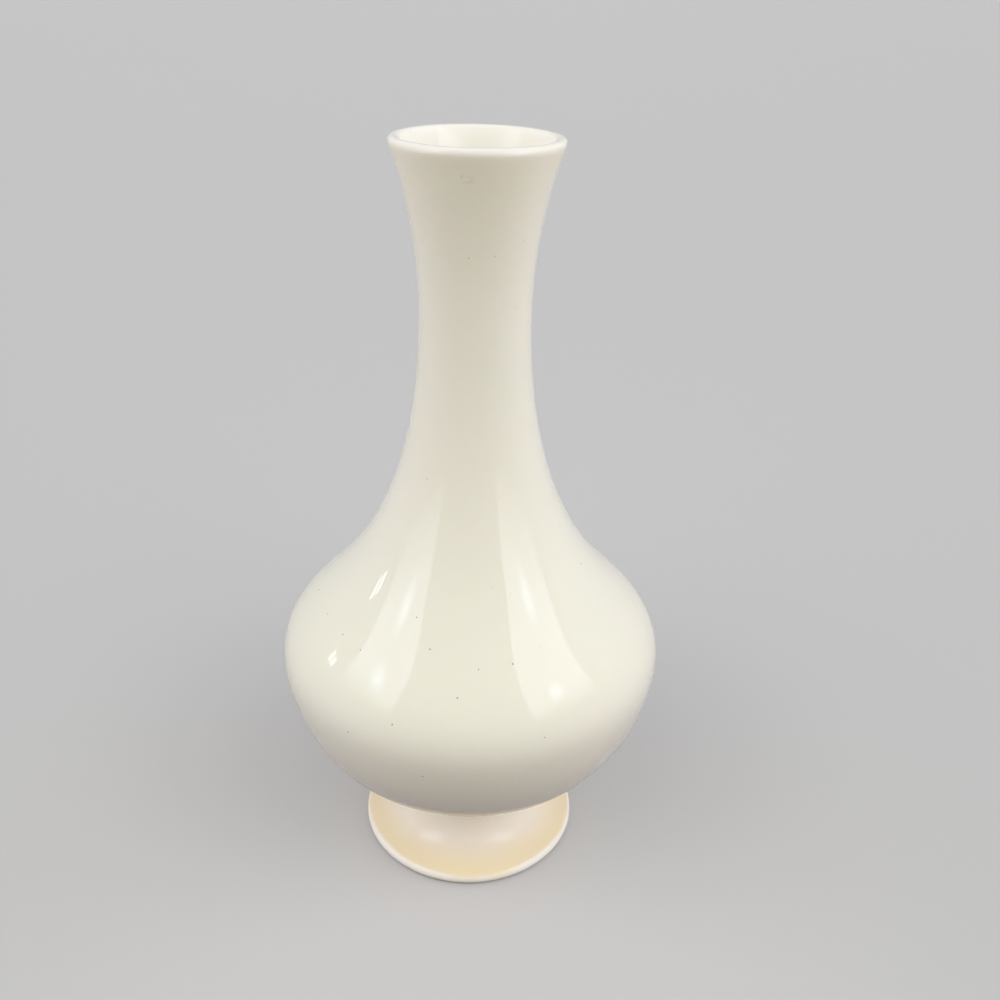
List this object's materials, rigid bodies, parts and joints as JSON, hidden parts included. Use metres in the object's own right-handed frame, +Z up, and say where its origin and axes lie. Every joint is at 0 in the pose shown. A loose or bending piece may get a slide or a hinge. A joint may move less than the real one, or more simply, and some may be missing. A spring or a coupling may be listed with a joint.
{
  "type": "bud vase",
  "caption": "Glazed porcelain bud vase: a round belly drawn up into a long narrow neck with a flared lip, on a hollow pedestal foot. Stands on a table and holds cut stems in water.",
  "frame": {"origin": "middle of the foot's standing ring, on the table plane", "axes": "+Z up along the axis of the vase, from the foot to the mouth; the vase is round, so +X and +Y are free"},
  "size_m": [0.086, 0.086, 0.165],
  "materials": {
    "ivory_glaze": "high-gloss ivory-white glaze with a few iron specks and pinholes",
    "cream_glaze": "high-gloss cream glaze, paler over the rounded edge, with an unglazed ground ring beneath",
    "joining_slip": "glazed-over bead of joining slip"
  },
  "bodies": {
    "root": {"vase_body": "ivory_glaze", "luting_slip": "joining_slip", "pedestal_foot": "cream_glaze"}
  },
  "joints": []
}
